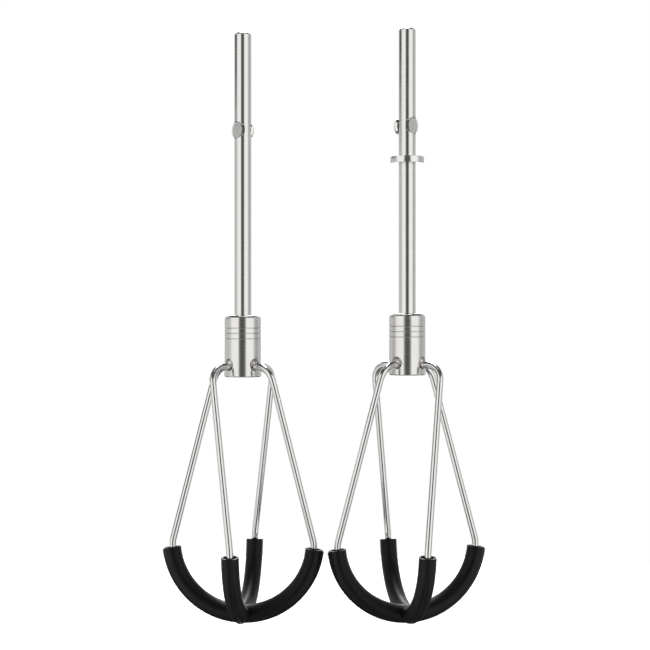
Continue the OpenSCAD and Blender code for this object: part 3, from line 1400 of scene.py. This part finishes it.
@dataclass(frozen=True)
class Studio:
    """A white studio: two tall light panels beside a dark camera gap, a strip light overhead.

    The panels are bands of the world at fixed directions, so they stay where they are in
    every view. They are given as direction from the front in degrees, and brightness. A
    pair of numbers says where an edge starts to fade and where it ends, as the height or
    the depth of a direction. The flag is a dark card beside the left panel, and the shade
    is the dark studio floor far behind.
    """

    panels: tuple[tuple[float, float], ...] = (
        (-180, 1.6), (-160, 1.5), (-150, 0.78), (-100, 0.8), (-80, 0.9), (-68, 1.32), (-27, 1.38),
        (-19, 0.3), (-10, 0.12), (8, 0.12), (17, 0.3), (25, 1.38), (68, 1.34), (78, 0.8),
        (90, 0.62), (104, 0.62), (112, 0.7), (150, 0.75), (160, 1.5), (180, 1.6),
    )
    panel_top: tuple[float, float] = (0.5, 0.68)
    panel_foot: tuple[float, float] = (-0.9, -0.6)
    ceiling: float = 0.12
    ground: float = 0.3
    flag_turns: tuple[float, float] = (-124, -84)
    flag_soft: float = 0.008
    flag_foot: tuple[float, float] = (0.131, 0.148)
    flag_top: tuple[float, float] = (0.3, 0.36)
    flag_level: float = 0.1
    lamps: tuple[Lamp, ...] = (
        Lamp(half_width=(0.12, 0.2), foot=(0.35, 0.5), front=(0.04, 0.14), back=(0.9, 1.0), level=10.0),
        Lamp(half_width=(0.3, 0.4), foot=(0.9, 0.94), front=(-0.4, -0.3), back=(-0.1, -0.04), level=0.7),
    )
    shade_back: tuple[float, float] = (0.3, 0.6)
    shade_top: tuple[float, float] = (-0.4, -0.16)
    shade_level: float = 0.06
    floor_drop: float = 60 * MM
    floor_radius: float = 0.6
    floor_thickness: float = 2 * MM
    camera_distance: float = 527.3 * MM
    camera_height: float = 94.6 * MM
    frame_width: float = 214.5 * MM
    sensor_width: float = 36.0
    frame_shift: float = 0.017

    def build_world(self) -> None:
        """Lights the scene from the panels. The camera itself sees plain white."""
        world = bpy.data.worlds.new("studio")
        bpy.context.scene.world = world
        world.use_nodes = True
        tree = world.node_tree
        tree.nodes.clear()

        def fade(value: Any, edges: tuple[float, float], start: Any, end: Any) -> Any:
            """Goes smoothly from one level to another as a value passes two edges.

            Args:
                value: The value.
                edges: Where it starts to count, and where it counts in full.
                start: Level before the first edge.
                end: Level past the second.

            Returns:
                The socket that gives the level.
            """
            inputs = {"Value": value, "From Min": edges[0], "From Max": edges[1],
                      "To Min": start, "To Max": end}
            return add_node(tree, "ShaderNodeMapRange", inputs,
                            interpolation_type="SMOOTHSTEP").outputs["Result"]

        def maths(operation: str, first: Any, second: Any = 0.0) -> Any:
            """Joins two values by an operation."""
            return add_node(tree, "ShaderNodeMath", {0: first, 1: second},
                            operation=operation).outputs[0]

        direction = add_node(tree, "ShaderNodeTexCoord").outputs["Generated"]
        parts = add_node(tree, "ShaderNodeSeparateXYZ", {"Vector": direction}).outputs
        turn = maths("ARCTAN2", parts["X"], maths("MULTIPLY", parts["Y"], -1.0))
        turn = add_node(
            tree, "ShaderNodeMapRange", {"Value": turn, "From Min": -math.pi, "From Max": math.pi}
        ).outputs["Result"]
        ramp = add_node(tree, "ShaderNodeValToRGB", {"Fac": turn})
        brightest = max(level for _, level in self.panels)
        stops = ramp.color_ramp.elements
        while len(stops) < len(self.panels):
            stops.new(0.5)
        for stop, (angle, level) in zip(stops, self.panels):
            stop.position = (angle + 180) / 360
            grey = level / brightest
            stop.color = (grey, grey, grey, 1.0)
        walls = maths("MULTIPLY", ramp.outputs["Color"], brightest)
        first, last = ((angle + 180) / 360 for angle in self.flag_turns)
        soft = self.flag_soft
        flag = maths("MULTIPLY", fade(turn, (first - soft, first + soft), 0.0, 1.0),
                     fade(turn, (last - soft, last + soft), 1.0, 0.0))
        flag = maths("MULTIPLY", flag, fade(parts["Z"], self.flag_foot, 0.0, 1.0))
        flag = maths("MULTIPLY", flag, fade(parts["Z"], self.flag_top, 1.0, 0.0))
        walls = fade(flag, (0.0, 1.0), walls, self.flag_level)
        walls = fade(parts["Z"], self.panel_top, walls, self.ceiling)
        walls = fade(parts["Z"], self.panel_foot, self.ground, walls)
        shade = maths("MULTIPLY", fade(parts["Y"], self.shade_back, 0.0, 1.0),
                      fade(parts["Z"], self.shade_top, 1.0, 0.0))
        walls = fade(shade, (0.0, 1.0), walls, self.shade_level)
        level = walls
        for lamp in self.lamps:
            glow = maths("MULTIPLY", fade(parts["Z"], lamp.foot, 0.0, 1.0),
                         fade(maths("ABSOLUTE", parts["X"]), lamp.half_width, 1.0, 0.0))
            glow = maths("MULTIPLY", glow, fade(parts["Y"], lamp.front, 0.0, 1.0))
            glow = maths("MULTIPLY", glow, fade(parts["Y"], lamp.back, 1.0, 0.0))
            level = fade(glow, (0.0, 1.0), level, lamp.level)
        lit = add_node(tree, "ShaderNodeBackground", {"Strength": level}).outputs[0]
        lit.node.inputs["Color"].default_value = (1.0, 1.0, 1.0, 1.0)
        white = {"Color": (1.0, 1.0, 1.0, 1.0), "Strength": 1.0}
        plain = add_node(tree, "ShaderNodeBackground", white).outputs[0]
        seen = add_node(tree, "ShaderNodeLightPath").outputs["Is Camera Ray"]
        mixed = add_node(tree, "ShaderNodeMixShader", {0: seen, 1: lit, 2: plain}).outputs[0]
        add_node(tree, "ShaderNodeOutputWorld", {"Surface": mixed})

    def build_floor(self, middle: Vector, lowest: float) -> None:
        """Lays the pale floor under the object.

        Args:
            middle: A point above the floor's centre.
            lowest: Height of the object's lowest point.
        """
        height = lowest - self.floor_drop
        foot = -self.floor_thickness
        outline = [(0.0, 0.0), (self.floor_radius, 0.0), (self.floor_radius, foot), (0.0, foot)]
        place = Matrix.Translation((middle.x, middle.y, height))
        mesh = lathe_mesh("floor", outline, place, 96)
        material = bpy.data.materials.new("studio_paper_white")
        material.use_nodes = True
        shader = material.node_tree.nodes["Principled BSDF"]
        shader.inputs["Base Color"].default_value = linear("#F4F4F4")
        shader.inputs["Roughness"].default_value = 0.9
        shader.inputs["Emission Color"].default_value = (1.0, 1.0, 1.0, 1.0)
        shader.inputs["Emission Strength"].default_value = 0.4
        floor = new_piece("studio_floor", mesh, material)
        floor.visible_glossy = False
        floor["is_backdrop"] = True

    def build_camera(self, middle: Vector, lowest: float) -> None:
        """Sets the camera level, in front of the pair.

        Args:
            middle: Middle of the pair.
            lowest: Height of the object's lowest point.
        """
        data = bpy.data.cameras.new("camera")
        data.sensor_width = self.sensor_width
        data.lens = self.sensor_width * self.camera_distance / self.frame_width
        data.shift_y = self.frame_shift
        data.clip_start = 10 * MM
        camera = bpy.data.objects.new("camera", data)
        camera.location = (middle.x, -self.camera_distance, lowest + self.camera_height)
        camera.rotation_euler = (math.pi / 2, 0.0, 0.0)
        bpy.context.scene.collection.objects.link(camera)
        bpy.context.scene.camera = camera

    def build(self, middle: Vector, lowest: float) -> None:
        """Builds the lights, the floor and the camera.

        Args:
            middle: Middle of the pair.
            lowest: Height of the object's lowest point.
        """
        bpy.context.scene.view_settings.view_transform = "Standard"
        self.build_world()
        self.build_floor(middle, lowest)
        self.build_camera(middle, lowest)


def main() -> None:
    """Builds the studio and both beaters around the frame."""
    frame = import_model()
    cad_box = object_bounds()
    logging.basicConfig(level=logging.INFO, format="%(name)s %(message)s")
    LOG.info("frame loaded: %s", type(frame).__name__)
    middle = (PLAIN.axis() + COLLARED.axis()) / 2
    Studio().build(middle, cad_box[0].z)
    finishes = Finishes()
    cage = CageSizes()
    wires, sleeves = wire_tree(), sleeve_tree()
    for beater in (PLAIN, COLLARED):
        Shank(beater, finishes).build()
        HubSet(beater, cage, finishes).build()
        Cage(beater, cage, finishes, wires, sleeves).build()


if __name__ == "__main__":
    main()
